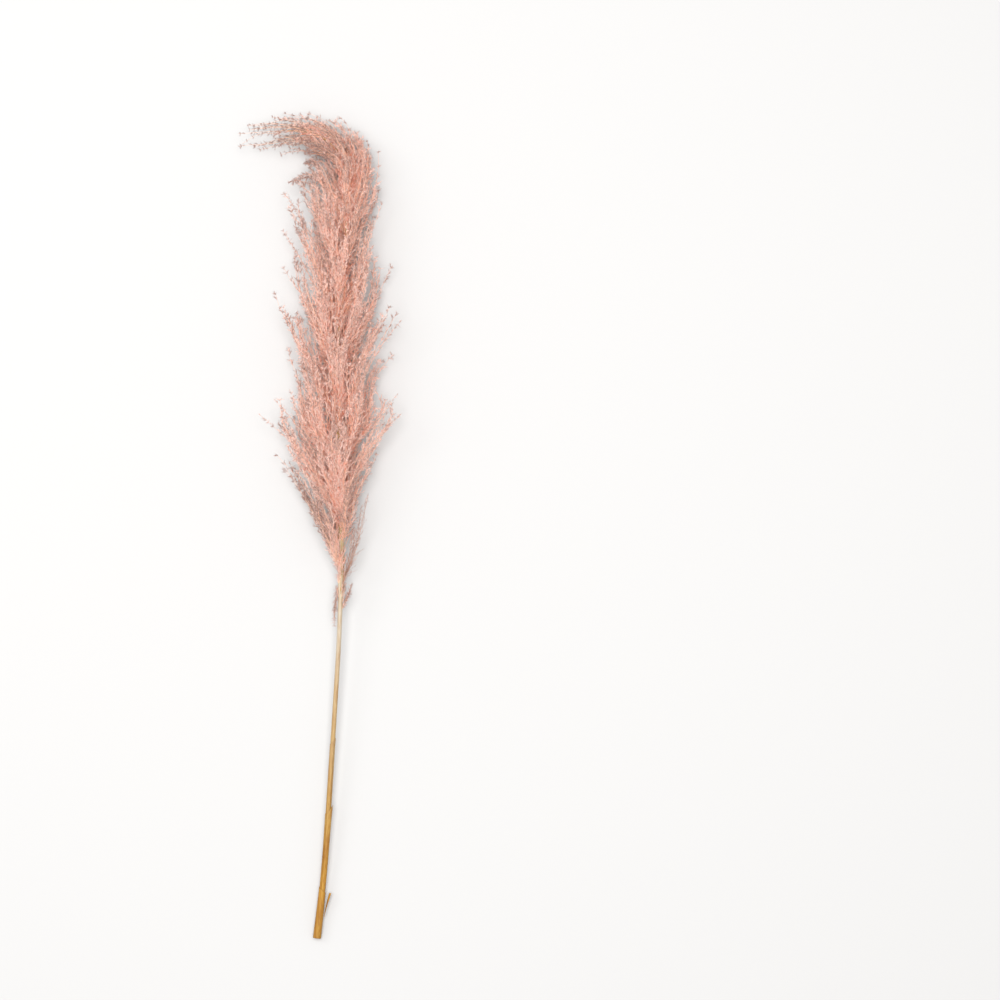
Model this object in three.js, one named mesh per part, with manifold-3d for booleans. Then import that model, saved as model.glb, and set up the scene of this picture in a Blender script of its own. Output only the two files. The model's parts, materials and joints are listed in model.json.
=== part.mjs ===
// A cut and dried stem of pampas grass, lying on a flat surface. Millimetres, +Z up.
//
// The stem runs along +Y from its cut end to its plume, and the plume's tip hooks over towards -X.
// Pieces, from the cut end: the culm, which is one stalk from the cut to the tip of the rachis; three
// leaf sheaths around it, one inside another, and a torn sliver of the outermost; three loose wisps at
// the neck; and the plume's branches, each a plain tuft here, set in tiers round the rachis like the
// scales of a cone.
//
// Everything is placed by three numbers: how far along the axis (s), how far to the right of it and
// how far above it. at() turns them into a point, so no piece needs a place of its own.
import * as THREE from "three";
import { mergeVertices } from "three/addons/utils/BufferGeometryUtils.js";
import Module from "manifold-3d";

// ---- Driving dimensions ----
const FIT_GAP = 0.2; // clearance between pieces that touch in life

// The axis: four stretches, one after the other
const STALK_LENGTH = 448; // cut end to the first branch
const PLUME_RUN = 474; // first branch to the hook
const HOOK_LENGTH = 150; // along the hook
const TAIL_LENGTH = 38; // from the hook to the last hair
const RACHIS_SHORT = 52; // the rachis stops this far before the last hair
const HOOK_TURN = 100; // degrees that the hook turns towards -X

// The culm
const CULM_RADIUS = 2.9;
const CULM_SIDES = 12;
const RACHIS_RADIUS = 2.6; // at the first branch
const RACHIS_TIP_RADIUS = 0.8;
const COLLAR_SWELL = 0.7; // the ridge that carries the first branches
const COLLAR_HALF_LENGTH = 9;

// The sheaths: each a thin wall, open along one side, that runs from the cut to its mouth
const SHEATH_WALL = 0.33;
const BUTT_WALL = 1.1; // the lowest sheath is thickest at the cut
const LOWER_MOUTH = 61;
const MIDDLE_MOUTH = 160;
const UPPER_MOUTH = 248;
const LIGULE_STANDS = 1.4; // how far the middle sheath's ligule stands off
const SHEATH_SIDES = 16;

// The sliver torn from the lowest sheath
const SLIVER_FROM = 27;
const SLIVER_LENGTH = 31;
const SLIVER_REACH = 4.8; // how far its end stands off the sheath
const SLIVER_WIDTH = 3;
const SLIVER_THICKNESS = 0.6;

// The plume
const TIERS = 10;
const TUFTS_PER_TIER = 5;
const FIRST_TIER_AT = 6; // the first tier's middle, from the first branch
const LAST_TIER_SHORT = 45; // the last tier's middle is this far before the rachis ends
const TUFT_LENGTH = 152; // along the axis, low on the plume
const TOP_TUFT_LENGTH = 92; // along the axis, on the last tier
const TUFT_CLEARANCE = 0.13; // share of its cell that a tuft leaves free
const TUFT_OFF_RACHIS = 0.9; // the gap round the rachis, which leaves room for its bend
const TUFT_SIDES = 8;

// How it lies
const PLUME_HEIGHT = 33; // the axis above the surface, in the plume
const TAIL_HEIGHT = 24;
const PRESSED = 5; // how far the surface pushes the lowest tufts flat

const wasm = await Module();
wasm.setup();

// ---- The axis ----
const PLUME_FROM = STALK_LENGTH;
const HOOK_FROM = PLUME_FROM + PLUME_RUN;
const TAIL_FROM = HOOK_FROM + HOOK_LENGTH;
const AXIS_END = TAIL_FROM + TAIL_LENGTH;
const RACHIS_END = AXIS_END - RACHIS_SHORT;
const COLLAR_AT = PLUME_FROM - COLLAR_HALF_LENGTH;
const RISE_LENGTH = PLUME_FROM + 0.3 * PLUME_RUN;
const BUTT_RADIUS = CULM_RADIUS + 3 * FIT_GAP + 2 * SHEATH_WALL + BUTT_WALL;

// A value that runs straight between the given [place, value] pairs, and eases in and out of each.
function profile(pairs) {
  return (place) => {
    const next = pairs.findIndex(([p]) => p >= place);
    if (next === 0) return pairs[0][1];
    if (next < 0) return pairs.at(-1)[1];
    const [[p0, v0], [p1, v1]] = [pairs[next - 1], pairs[next]];
    return v0 + (v1 - v0) * THREE.MathUtils.smoothstep(place, p0, p1);
  };
}

// The way the axis points at s, in degrees to the right of +Y.
const heading = profile([
  [0, 7],
  [0.35 * STALK_LENGTH, 3.8],
  [0.7 * STALK_LENGTH, 3.8],
  [STALK_LENGTH, 1.5],
  [PLUME_FROM + 0.2 * PLUME_RUN, -2.2],
  [PLUME_FROM + 0.45 * PLUME_RUN, -0.5],
  [PLUME_FROM + 0.85 * PLUME_RUN, 5],
  [HOOK_FROM, 2],
  [TAIL_FROM, 2 - HOOK_TURN],
  [AXIS_END, 8 - HOOK_TURN],
]);
// The axis above the surface: the butt rests on it, and the stalk climbs from there to the plume.
const height = profile([
  [-RISE_LENGTH, 2 * BUTT_RADIUS - PLUME_HEIGHT],
  [RISE_LENGTH, PLUME_HEIGHT],
  [HOOK_FROM, PLUME_HEIGHT],
  [TAIL_FROM, TAIL_HEIGHT],
]);

const AXIS_STEP = 1;
const walked = [new THREE.Vector2(0, 0)];
for (let s = 0; s < AXIS_END + TUFT_LENGTH; s += AXIS_STEP) {
  const turn = THREE.MathUtils.degToRad(heading(s + AXIS_STEP / 2));
  const step = new THREE.Vector2(Math.sin(turn), Math.cos(turn));
  walked.push(walked.at(-1).clone().addScaledVector(step, AXIS_STEP));
}

// The point at s along the axis, moved to the right of it and up.
function at(s, right = 0, up = 0) {
  const steps = Math.max(s, 0) / AXIS_STEP;
  const before = Math.min(Math.floor(steps), walked.length - 2);
  const middle = walked[before].clone().lerp(walked[before + 1], steps - before);
  const turn = THREE.MathUtils.degToRad(heading(s));
  return new THREE.Vector3(
    middle.x + right * Math.cos(turn),
    middle.y - right * Math.sin(turn),
    height(s) + up,
  );
}

// ---- Geometry helpers ----
function meshFrom(points, faces) {
  const geometry = new THREE.BufferGeometry().setFromPoints(points);
  return geometry.setIndex(faces.flat());
}

// A closed solid through rings of equal count, each end closed by a fan round its middle.
function loft(rings) {
  const sides = rings[0].length;
  const points = rings.flat();
  const faces = [];
  for (let r = 0; r + 1 < rings.length; r++)
    for (let k = 0; k < sides; k++) {
      const [a, b] = [r * sides + k, r * sides + ((k + 1) % sides)];
      faces.push([a, b, b + sides], [a, b + sides, a + sides]);
    }
  for (const [ring, flip] of [[0, true], [rings.length - 1, false]]) {
    const middle = new THREE.Vector3();
    rings[ring].forEach((p) => middle.addScaledVector(p, 1 / sides));
    points.push(middle);
    for (let k = 0; k < sides; k++) {
      const [a, b] = [ring * sides + k, ring * sides + ((k + 1) % sides)];
      faces.push(flip ? [b, a, points.length - 1] : [a, b, points.length - 1]);
    }
  }
  return meshFrom(points, faces);
}

// A round bar along the axis, or beside it where route gives a place to the right and above.
function bar(places, radius, sides, route = () => [0, 0]) {
  return loft(
    places.map((s) => {
      const [right, up] = route(s);
      return Array.from({ length: sides }, (_, k) => {
        const turn = -(k * 2 * Math.PI) / sides;
        const r = radius(s);
        return at(s, right + r * Math.cos(turn), up + r * Math.sin(turn));
      });
    }),
  );
}

function solidOf(geometry) {
  const plain = geometry.clone();
  for (const name of Object.keys(plain.attributes))
    if (name !== "position") plain.deleteAttribute(name);
  const merged = mergeVertices(plain, 1e-4);
  return new wasm.Manifold(
    new wasm.Mesh({
      numProp: 3,
      vertProperties: merged.attributes.position.array,
      triVerts: new Uint32Array(merged.index.array),
    }),
  );
}

function geometryOf(solid) {
  const mesh = solid.getMesh();
  return new THREE.BufferGeometry()
    .setAttribute("position", new THREE.BufferAttribute(mesh.vertProperties, 3))
    .setIndex(new THREE.BufferAttribute(mesh.triVerts, 1));
}

// What is left of a solid once the surface that it lies on has pressed it flat.
const surfaceBlock = new THREE.BoxGeometry(4 * AXIS_END, 4 * AXIS_END, 2 * PLUME_HEIGHT);
surfaceBlock.translate(0, 0, -PLUME_HEIGHT);
const surface = solidOf(surfaceBlock);
function pressedFlat(geometry) {
  geometry.computeBoundingBox();
  if (geometry.boundingBox.min.z >= 0) return geometry;
  return geometryOf(solidOf(geometry).subtract(surface));
}

// ---- The culm ----
const taper = profile([
  [0, CULM_RADIUS],
  [PLUME_FROM, CULM_RADIUS],
  [PLUME_FROM + 0.1 * PLUME_RUN, RACHIS_RADIUS],
  [RACHIS_END, RACHIS_TIP_RADIUS],
]);
function culmRadius(s) {
  const off = (s - COLLAR_AT) / COLLAR_HALF_LENGTH;
  return taper(s) + COLLAR_SWELL * Math.exp(-3 * off ** 2);
}

function culm() {
  const places = [];
  for (let s = 0; s < RACHIS_END; ) {
    places.push(s);
    if (Math.abs(s - COLLAR_AT) < 2 * COLLAR_HALF_LENGTH) s += COLLAR_HALF_LENGTH / 3;
    else s += s > HOOK_FROM ? HOOK_LENGTH / 16 : COLLAR_HALF_LENGTH * 2;
  }
  places.push(RACHIS_END);
  return bar(places, culmRadius, CULM_SIDES);
}

// ---- The sheaths ----
// A leaf sheath from the cut to its mouth. slit is how wide it stands open, at the angle slitAt; slant
// is how much farther the mouth reaches on the right; and the rim may stand off there in a ligule.
function sheath({ mouth, inner, wall, slitAt, slit, slant, ligule = 0, rings = 8 }) {
  const columns = SHEATH_SIDES;
  const points = [];
  for (const outside of [false, true])
    for (let i = 0; i <= rings; i++)
      for (let k = 0; k <= columns; k++) {
        const turn = slitAt + slit / 2 + ((2 * Math.PI - slit) * k) / columns;
        const lobe = Math.max(0, Math.cos(turn)) ** 4;
        const s = ((mouth + slant * Math.cos(turn) + 4 * ligule * lobe) * i) / rings;
        const r = inner(s) + ligule * lobe * (i / rings) ** 6 + (outside ? wall(s) : 0);
        points.push(at(s, r * Math.cos(turn), r * Math.sin(turn)));
      }
  const row = columns + 1;
  const outer = (rings + 1) * row;
  const faces = [];
  const quad = (a, b, c, d) => faces.push([a, b, c], [a, c, d]);
  for (let i = 0; i < rings; i++)
    for (let k = 0; k < columns; k++) {
      const a = i * row + k;
      quad(a, a + 1, a + row + 1, a + row);
      quad(outer + a, outer + a + row, outer + a + row + 1, outer + a + 1);
    }
  for (let k = 0; k < columns; k++) {
    const rim = rings * row + k;
    quad(k, outer + k, outer + k + 1, k + 1);
    quad(rim, rim + 1, outer + rim + 1, outer + rim);
  }
  for (let i = 0; i < rings; i++) {
    const [a, b] = [i * row, i * row + columns];
    quad(a, a + row, outer + a + row, outer + a);
    quad(b, outer + b, outer + b + row, b + row);
  }
  return meshFrom(points, faces);
}

const evenWall = () => SHEATH_WALL;
const buttWall = (s) => SHEATH_WALL + (BUTT_WALL - SHEATH_WALL) * Math.max(0, 1 - s / LOWER_MOUTH);
const upperInner = (s) => culmRadius(s) + FIT_GAP;
const middleInner = (s) => upperInner(s) + SHEATH_WALL + FIT_GAP;
const lowerInner = (s) => middleInner(s) + SHEATH_WALL + FIT_GAP;

const SHEATHS = {
  lower_sheath: {
    mouth: LOWER_MOUTH,
    inner: lowerInner,
    wall: buttWall,
    slitAt: -0.5,
    slit: 0.35,
    slant: -3,
  },
  middle_sheath: {
    mouth: MIDDLE_MOUTH,
    inner: middleInner,
    wall: evenWall,
    slitAt: 2,
    slit: 0.3,
    slant: 3,
    ligule: LIGULE_STANDS,
    rings: 12,
  },
  upper_sheath: {
    mouth: UPPER_MOUTH,
    inner: upperInner,
    wall: evenWall,
    slitAt: 1,
    slit: 0.25,
    slant: 4,
    rings: 14,
  },
};

// The sliver leaves the lowest sheath on its right and turns its face up as it goes.
function sliver() {
  const rings = [];
  const count = 6;
  for (let i = 0; i <= count; i++) {
    const t = i / count;
    const s = SLIVER_FROM + SLIVER_LENGTH * t;
    const off = lowerInner(s) + buttWall(s) + FIT_GAP + SLIVER_THICKNESS + SLIVER_REACH * t ** 1.3;
    const turn = Math.PI / 2 - 1.15 * t;
    const half = 0.5 * SLIVER_WIDTH * (0.3 + 0.7 * Math.sqrt(t));
    const thick = 0.5 * SLIVER_THICKNESS;
    const [across, along] = [
      [Math.cos(turn), Math.sin(turn)],
      [-Math.sin(turn), Math.cos(turn)],
    ];
    const corners = [[1, 1], [1, -1], [-1, -1], [-1, 1]];
    rings.push(
      corners.map(([w, d]) =>
        at(
          s,
          off + w * half * across[0] + d * thick * along[0],
          w * half * across[1] + d * thick * along[1],
        ),
      ),
    );
  }
  return loft(rings);
}

// ---- The plume ----
// How far the tufts' tips reach to the right, to the left and up, by distance into the plume.
const hookAt = PLUME_RUN;
const tailAt = PLUME_RUN + HOOK_LENGTH;
const reachRight = profile([
  [0, 12],
  [0.2 * PLUME_RUN, 22],
  [0.31 * PLUME_RUN, 58],
  [0.42 * PLUME_RUN, 84],
  [0.5 * PLUME_RUN, 60],
  [0.68 * PLUME_RUN, 73],
  [0.9 * PLUME_RUN, 44],
  [hookAt + 0.25 * HOOK_LENGTH, 43],
  [hookAt + 0.5 * HOOK_LENGTH, 31],
  [tailAt, 24],
  [tailAt + TAIL_LENGTH, 12],
]);
const reachLeft = profile([
  [0, 46],
  [0.22 * PLUME_RUN, 64],
  [0.4 * PLUME_RUN, 98],
  [0.5 * PLUME_RUN, 70],
  [0.66 * PLUME_RUN, 74],
  [0.9 * PLUME_RUN, 82],
  [hookAt, 72],
  [hookAt + 0.5 * HOOK_LENGTH, 46],
  [tailAt, 24],
  [tailAt + TAIL_LENGTH, 12],
]);
const reachUp = profile([
  [0, 24],
  [0.3 * PLUME_RUN, 44],
  [0.7 * PLUME_RUN, 50],
  [hookAt, 38],
  [tailAt, 22],
  [tailAt + TAIL_LENGTH, 8],
]);
const reachDown = profile([
  [0, 18],
  [0.2 * PLUME_RUN, PLUME_HEIGHT + PRESSED],
  [hookAt, PLUME_HEIGHT + PRESSED],
  [tailAt, 18],
  [tailAt + TAIL_LENGTH, 8],
]);

const lastTierAt = RACHIS_END - LAST_TIER_SHORT - PLUME_FROM;
const tierMiddle = (tier) => THREE.MathUtils.mapLinear(tier, 0, TIERS - 1, FIRST_TIER_AT, lastTierAt);
const tuftLength = (tier) =>
  THREE.MathUtils.mapLinear(Math.max(tier, TIERS / 2), TIERS / 2, TIERS, TUFT_LENGTH, TOP_TUFT_LENGTH);
// How far out a tuft is, from 0 at the rachis to 1 at its tip: fast at first, then more along the axis.
const spread = (q) => 0.45 * (1 - (1 - q) ** 1.7) + 0.55 * q;
// How much of its cell a tuft fills: a slim base, a full body and a drawn-out tip.
const fullness = profile([
  [0, 0.2],
  [0.36, 1],
  [0.7, 0.86],
  [1, 0.12],
]);

// A tuft stands in a cell of its own, between two cones round the rachis and two planes through it,
// so no two tufts meet. tier and sector may be fractions: they say where in the plume a point is.
function inPlume(tier, sector, q) {
  const into = tierMiddle(tier) + tuftLength(tier) * q;
  const turn = (sector * 2 * Math.PI) / TUFTS_PER_TIER;
  const [x, z] = [Math.cos(turn), Math.sin(turn)];
  const clear = culmRadius(Math.min(PLUME_FROM + into, RACHIS_END)) + TUFT_OFF_RACHIS;
  const reachX = x > 0 ? reachRight(into) : reachLeft(into);
  const reachZ = z > 0 ? reachUp(into) : reachDown(into);
  const out = (reach) => clear + Math.max(reach - clear, 0) * spread(q);
  return at(PLUME_FROM + into, out(reachX) * x, out(reachZ) * z);
}

function tuft(tier, sector) {
  const cell = 0.5 * (1 - TUFT_CLEARANCE);
  const middle = sector + (tier % 2 ? 0.25 : 0.75);
  const rings = [0, 0.12, 0.27, 0.42, 0.57, 0.72, 0.87, 1].map((q) =>
    Array.from({ length: TUFT_SIDES }, (_, k) => {
      const turn = (k * 2 * Math.PI) / TUFT_SIDES;
      const half = cell * fullness(q);
      return inPlume(tier - half * Math.sin(turn), middle + half * Math.cos(turn), q);
    }),
  );
  return pressedFlat(loft(rings));
}

// Loose wisps at the neck: [distance along the axis from the first branch, right, up]
const WISPS = {
  wisp_right_long: {
    radius: 3.2,
    route: [[-2, 6.5, 4], [14, 11, 7], [32, 17, 9], [55, 23, 12], [78, 28, 15], [104, 35, 17]],
  },
  wisp_right_short: {
    radius: 1.8,
    route: [[-36, 5, 1], [-28, 7, 1], [-18, 10.5, 1], [-4, 13.5, 0]],
  },
  wisp_left_hanging: {
    radius: 1.6,
    route: [[-6, -6, 3], [-18, -7.6, 3], [-36, -8.2, 1], [-56, -7.4, -1]],
  },
};
function wisp({ radius, route }) {
  const shape = profile([[0, 0.3], [0.5, 1], [1, 0.2]]);
  const line = new THREE.CatmullRomCurve3(
    route.map(([s, right, up]) => at(PLUME_FROM + s, right, up)),
  );
  const rings = [];
  const count = 9;
  const frames = line.computeFrenetFrames(count, false);
  for (let i = 0; i <= count; i++) {
    const middle = line.getPointAt(i / count);
    const r = radius * shape(i / count);
    rings.push(
      Array.from({ length: TUFT_SIDES }, (_, k) => {
        const turn = (k * 2 * Math.PI) / TUFT_SIDES;
        return middle
          .clone()
          .addScaledVector(frames.normals[i], r * Math.cos(turn))
          .addScaledVector(frames.binormals[i], r * Math.sin(turn));
      }),
    );
  }
  return loft(rings);
}

// ---- Materials ----
const finish = (color, roughness) => new THREE.MeshStandardMaterial({ color, roughness, metalness: 0 });
const straw = finish(0xe3c391, 0.55);
const golden = finish(0xc8912f, 0.5);
const plumePink = finish(0xdea593, 0.9);

// ---- The stem, put together ----
const stem = new THREE.Group();
function add(name, geometry, material) {
  const mesh = new THREE.Mesh(geometry, material);
  mesh.name = name;
  stem.add(mesh);
}

add("culm", culm(), straw);
for (const [name, shape] of Object.entries(SHEATHS)) add(name, sheath(shape), golden);
add("sheath_sliver", sliver(), golden);
for (const [name, shape] of Object.entries(WISPS)) add(name, wisp(shape), plumePink);
for (let tier = 0; tier < TIERS; tier++)
  for (let sector = 0; sector < TUFTS_PER_TIER; sector++)
    add(`tuft_${tier + 1}_${sector + 1}`, tuft(tier, sector), plumePink);

// The origin is on the surface, under the middle of the whole stem.
const box = new THREE.Box3().setFromObject(stem);
const middle = box.getCenter(new THREE.Vector3());
stem.position.set(-middle.x, -middle.y, -box.min.z);
const part = new THREE.Group();
part.add(stem);

export default part;
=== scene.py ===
# %% [markdown]
# # A dried stem of pampas grass
# The stem lies on a surface: a straw stalk in open leaf sheaths, and a feathery plume whose tip hooks
# over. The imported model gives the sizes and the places. It shows the plume as plain tufts, so the work
# here is to grow each tuft into what it stands for: a branch with branchlets, spikelets and silky hairs.
# This cell opens the model, takes away Blender's starting cube, camera and lamp, and keeps the box.

# %% Open the frame
import json
import math

import bmesh
import bpy
import numpy as np
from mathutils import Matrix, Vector

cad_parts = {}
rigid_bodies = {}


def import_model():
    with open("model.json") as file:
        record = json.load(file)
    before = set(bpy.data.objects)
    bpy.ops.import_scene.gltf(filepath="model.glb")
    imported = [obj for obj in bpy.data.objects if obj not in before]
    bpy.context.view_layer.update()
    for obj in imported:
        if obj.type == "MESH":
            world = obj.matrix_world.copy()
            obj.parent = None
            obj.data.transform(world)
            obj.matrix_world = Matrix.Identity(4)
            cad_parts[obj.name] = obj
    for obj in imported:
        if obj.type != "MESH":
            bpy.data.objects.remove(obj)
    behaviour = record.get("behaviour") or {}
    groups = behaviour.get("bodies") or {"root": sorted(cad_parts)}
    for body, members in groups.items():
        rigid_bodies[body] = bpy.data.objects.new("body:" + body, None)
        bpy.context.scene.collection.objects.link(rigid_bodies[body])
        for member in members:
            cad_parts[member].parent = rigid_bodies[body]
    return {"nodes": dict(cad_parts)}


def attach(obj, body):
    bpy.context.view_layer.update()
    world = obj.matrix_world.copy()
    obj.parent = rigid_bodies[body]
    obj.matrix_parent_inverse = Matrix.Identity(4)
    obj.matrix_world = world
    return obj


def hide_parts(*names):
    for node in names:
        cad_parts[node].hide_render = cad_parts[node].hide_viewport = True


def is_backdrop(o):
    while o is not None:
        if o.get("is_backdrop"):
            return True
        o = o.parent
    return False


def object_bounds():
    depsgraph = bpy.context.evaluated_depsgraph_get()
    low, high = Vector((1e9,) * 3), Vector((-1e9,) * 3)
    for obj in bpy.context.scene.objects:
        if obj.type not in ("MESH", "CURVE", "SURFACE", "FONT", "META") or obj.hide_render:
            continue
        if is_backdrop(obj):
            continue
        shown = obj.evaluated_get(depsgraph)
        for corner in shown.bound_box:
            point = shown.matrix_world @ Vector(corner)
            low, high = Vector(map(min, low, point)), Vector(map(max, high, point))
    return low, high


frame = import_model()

for thing in list(bpy.data.objects):
    if thing.name not in frame["nodes"] and thing.name != "body:root":
        bpy.data.objects.remove(thing)
cad_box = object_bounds()
MM = 0.001
stem_length = cad_box[1].y - cad_box[0].y
print("the stem is", round(stem_length / MM), "mm long and has", len(frame["nodes"]), "nodes")

# %% [markdown]
# ## Reading a shape back out of a mesh
# The model's meshes hold only corners and edges, but a grower needs to know where the middle of a
# branch runs. One way is to repeat the design's sums here, which breaks when a size changes. Cutting
# the mesh into slices and taking each slice's middle always follows the model, so that is the way used.
# A slice is found from any value that each corner has: an edge is cut where the value passes zero.

# %% Slices of a node
def corners_and_edges(node):
    """A node's corners, each once, and its edges as pairs of corners."""
    mesh = frame["nodes"][node].data
    places = np.empty(len(mesh.vertices) * 3, np.float32)
    mesh.vertices.foreach_get("co", places)
    corners, back = np.unique(places.reshape(-1, 3), axis=0, return_inverse=True)
    ends = np.empty(len(mesh.edges) * 2, np.int32)
    mesh.edges.foreach_get("vertices", ends)
    pairs = np.unique(np.sort(back.ravel()[ends].reshape(-1, 2), 1), axis=0)
    return corners.astype(float), pairs


def slice_through(corners, pairs, value):
    """The points where the edges pass through zero of a value given at each corner."""
    a, b = value[pairs[:, 0]], value[pairs[:, 1]]
    through = (a < 0) != (b < 0)
    share = (a[through] / (a[through] - b[through]))[:, None]
    start, end = corners[pairs[through, 0]], corners[pairs[through, 1]]
    return start + (end - start) * share


def unit(v):
    return v / np.maximum(np.linalg.norm(v, axis=-1, keepdims=True), 1e-12)


def walk_through(node, start, heading, step, reach):
    """Steps through a long thin node, and returns each slice's middle and its mean radius."""
    corners, pairs = corners_and_edges(node)
    middles, radii = [], []
    place = np.array(start, float)
    heading = unit(np.array(heading, float))
    while True:
        ring = slice_through(corners, pairs, (corners - place) @ heading)
        ring = ring[np.linalg.norm(ring - place, axis=1) < reach]
        if len(ring) < 3:
            return np.array(middles), np.array(radii)
        middles.append((ring.min(0) + ring.max(0)) / 2)
        radii.append(np.linalg.norm(ring - middles[-1], axis=1).mean())
        if len(middles) > 1:
            heading = unit(middles[-1] - middles[-2])
        place = middles[-1] + heading * step


# %% [markdown]
# ## The rachis, and places told by it
# The culm runs from the cut to the tip of the plume, and there it is called the rachis. All of the
# plume is laid out along it, so a place is told by three numbers: how far along the rachis, how far to
# its right and how far above it. With them a branch follows the hook at the tip without being told.

# %% The route of the culm
ROUTE_STEP = 2 * MM
culm_corners, _ = corners_and_edges("culm")
cut_end = culm_corners[culm_corners[:, 1] < culm_corners[:, 1].min() + 0.5 * MM].mean(0)
middles, radii = walk_through("culm", cut_end + [0, 0.2 * MM, 0], (0, 1, 0), 6 * MM, 12 * MM)
middles[0] = cut_end
walked = np.concatenate([[0], np.cumsum(np.linalg.norm(np.diff(middles, axis=0), axis=1))])
culm_length = walked[-1]

PAST_TIP = 140 * MM
last_way = unit(middles[-1] - middles[-4])
middles = np.vstack([middles, middles[-1] + last_way * PAST_TIP])
walked = np.append(walked, culm_length + PAST_TIP)
radii = np.append(radii, radii[-1])

stations = np.arange(0, walked[-1], ROUTE_STEP)
route = np.stack([np.interp(stations, walked, middles[:, i]) for i in range(3)], 1)
SMOOTH_OVER = 9  # steps to each side
padded = np.pad(route, ((SMOOTH_OVER, SMOOTH_OVER), (0, 0)), "reflect", reflect_type="odd")
kernel = np.ones(2 * SMOOTH_OVER + 1) / (2 * SMOOTH_OVER + 1)
route = np.stack([np.convolve(padded[:, i], kernel, "valid") for i in range(3)], 1)
route_way = unit(np.gradient(route, axis=0))
route_right = unit(np.cross(route_way, (0, 0, 1)))
route_up = np.cross(route_right, route_way)
route_radius = np.interp(stations, walked, radii)
print("the culm is", round(culm_length / MM), "mm along and", round(2 * radii[2] / MM, 2), "mm thick")


# %% Places told by the rachis
def on_route(values, along):
    """A value of the route, at each distance along it."""
    share = np.clip(np.asarray(along) / ROUTE_STEP, 0, len(stations) - 1.001)
    low = share.astype(int)
    part = (share - low)[..., None] if values.ndim > 1 else share - low
    return values[low] * (1 - part) + values[low + 1] * part


def told_by_rachis(points):
    """For each point: how far along the rachis, how far to its right and how far above it."""
    told = []
    for some in np.array_split(points, max(1, len(points) // 4000)):
        apart = np.linalg.norm(some[:, None] - route[None], axis=2)
        nearest = apart.argmin(1)
        off = some - route[nearest]
        ahead = (off * route_way[nearest]).sum(1)
        right = (off * route_right[nearest]).sum(1)
        above = (off * route_up[nearest]).sum(1)
        told.append(np.stack([stations[nearest] + ahead, right, above], 1))
    return np.concatenate(told)


def from_rachis(along, right, above):
    middle = on_route(route, along)
    aside = on_route(route_right, along) * np.asarray(right)[..., None]
    return middle + aside + on_route(route_up, along) * np.asarray(above)[..., None]


# %% [markdown]
# ## Making meshes of many small things
# The plume holds hundreds of thousands of spikelets and hairs. Blender's own hair would draw them, but it
# leaves nothing in an exported mesh, and a modifier for each strand would be slow. So every strand is a
# tiny closed mesh, and NumPy makes all of a branch's strands at once. A thread is a three-sided tube, a
# spikelet is a spindle with a three-sided waist, and a hair is a long thin tetrahedron.
#
# Each strand also gets a place on the colour map. Across the map runs its tone, from the painted shade
# and bounced light deep in the plume by way of its palest to its grey fringe, and up the map run threads
# first, then spikelets, then hairs, each from its base to its tip. A colour then needs only the map, and
# each strand can still differ from the next.

# %% Strands
THREAD_BAND, SPIKELET_BAND, HAIR_BAND = (0.02, 0.26), (0.32, 0.62), (0.68, 0.98)
TONE_WIDTH = 0.012
CORNER_TONE = np.array([-1.0, 0.0, 1.0]) * TONE_WIDTH
CORNER_LIFT = np.array([0.0, 1.0, 0.0]) * TONE_WIDTH


def two_across(way, seed_vector):
    """Two directions square to each other and to the way, turned by the seed vector."""
    first = unit(np.cross(way, seed_vector))
    return first, np.cross(unit(way), first)


def waist(middle, way, radius, seed_vector, flat=1.0):
    """Three points round a middle, in the plane square to the way."""
    first, second = two_across(way, seed_vector)
    turn = 2 * np.pi * np.arange(3) / 3
    wide = first[..., None, :] * np.cos(turn)[:, None] + flat * second[..., None, :] * np.sin(turn)[:, None]
    return middle[..., None, :] + wide * np.asarray(radius)[..., None, None]


def gather(points, faces, tone, up_map):
    """Copies of one small mesh, as its points, its triangles and its places on the colour map."""
    count, per = points.shape[:2]
    triangles = (faces[None] + (np.arange(count) * per)[:, None, None]).reshape(-1, 3)
    on_map = np.stack([np.clip(tone, 0.01, 0.99), np.clip(up_map, 0.005, 0.995)], -1)
    return points.reshape(-1, 3), triangles, on_map.reshape(-1, 2)


def threads(paths, radius, tone, rng):
    """Tapering three-sided tubes along paths, of shape (count, points, 3)."""
    count, steps = paths.shape[:2]
    way = np.gradient(paths, axis=1)
    turned = np.repeat(rng.normal(size=(count, 1, 3)), steps, 1)
    taper = np.linspace(1, 0.35, steps)[None] * np.asarray(radius)[:, None]
    points = waist(paths, way, taper, turned).reshape(count, steps * 3, 3)
    faces = [(0, 2, 1)]
    for ring in range(0, 3 * (steps - 1), 3):
        for k in range(3):
            a, b = ring + k, ring + (k + 1) % 3
            faces += [(a, b, b + 3), (a, b + 3, a + 3)]
    end = 3 * (steps - 1)
    faces.append((end, end + 1, end + 2))
    up = np.interp(np.arange(steps), [0, steps - 1], THREAD_BAND)
    up_map = (up[:, None] + CORNER_LIFT).reshape(1, -1).repeat(count, 0)
    tones = tone[:, None] + np.tile(CORNER_TONE, steps)
    return gather(points, np.array(faces), tones, up_map)


def spikelets(base, tip, width, tone, rng):
    """Slim spindles, widest below their middle."""
    way = tip - base
    ring = waist(base + 0.4 * way, way, width / 2, rng.normal(size=base.shape), flat=0.6)
    points = np.concatenate([base[:, None], ring, tip[:, None]], 1)
    faces = np.array([(2, 1, 0), (3, 2, 0), (1, 3, 0), (1, 2, 4), (2, 3, 4), (3, 1, 4)])
    low, high = SPIKELET_BAND
    middle = low + 0.4 * (high - low)
    up_map = np.tile([low, middle, middle, middle, high], (len(base), 1))
    tones = tone[:, None] + np.concatenate([[0], CORNER_TONE, [0]])
    return gather(points, faces, tones, up_map)


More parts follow.
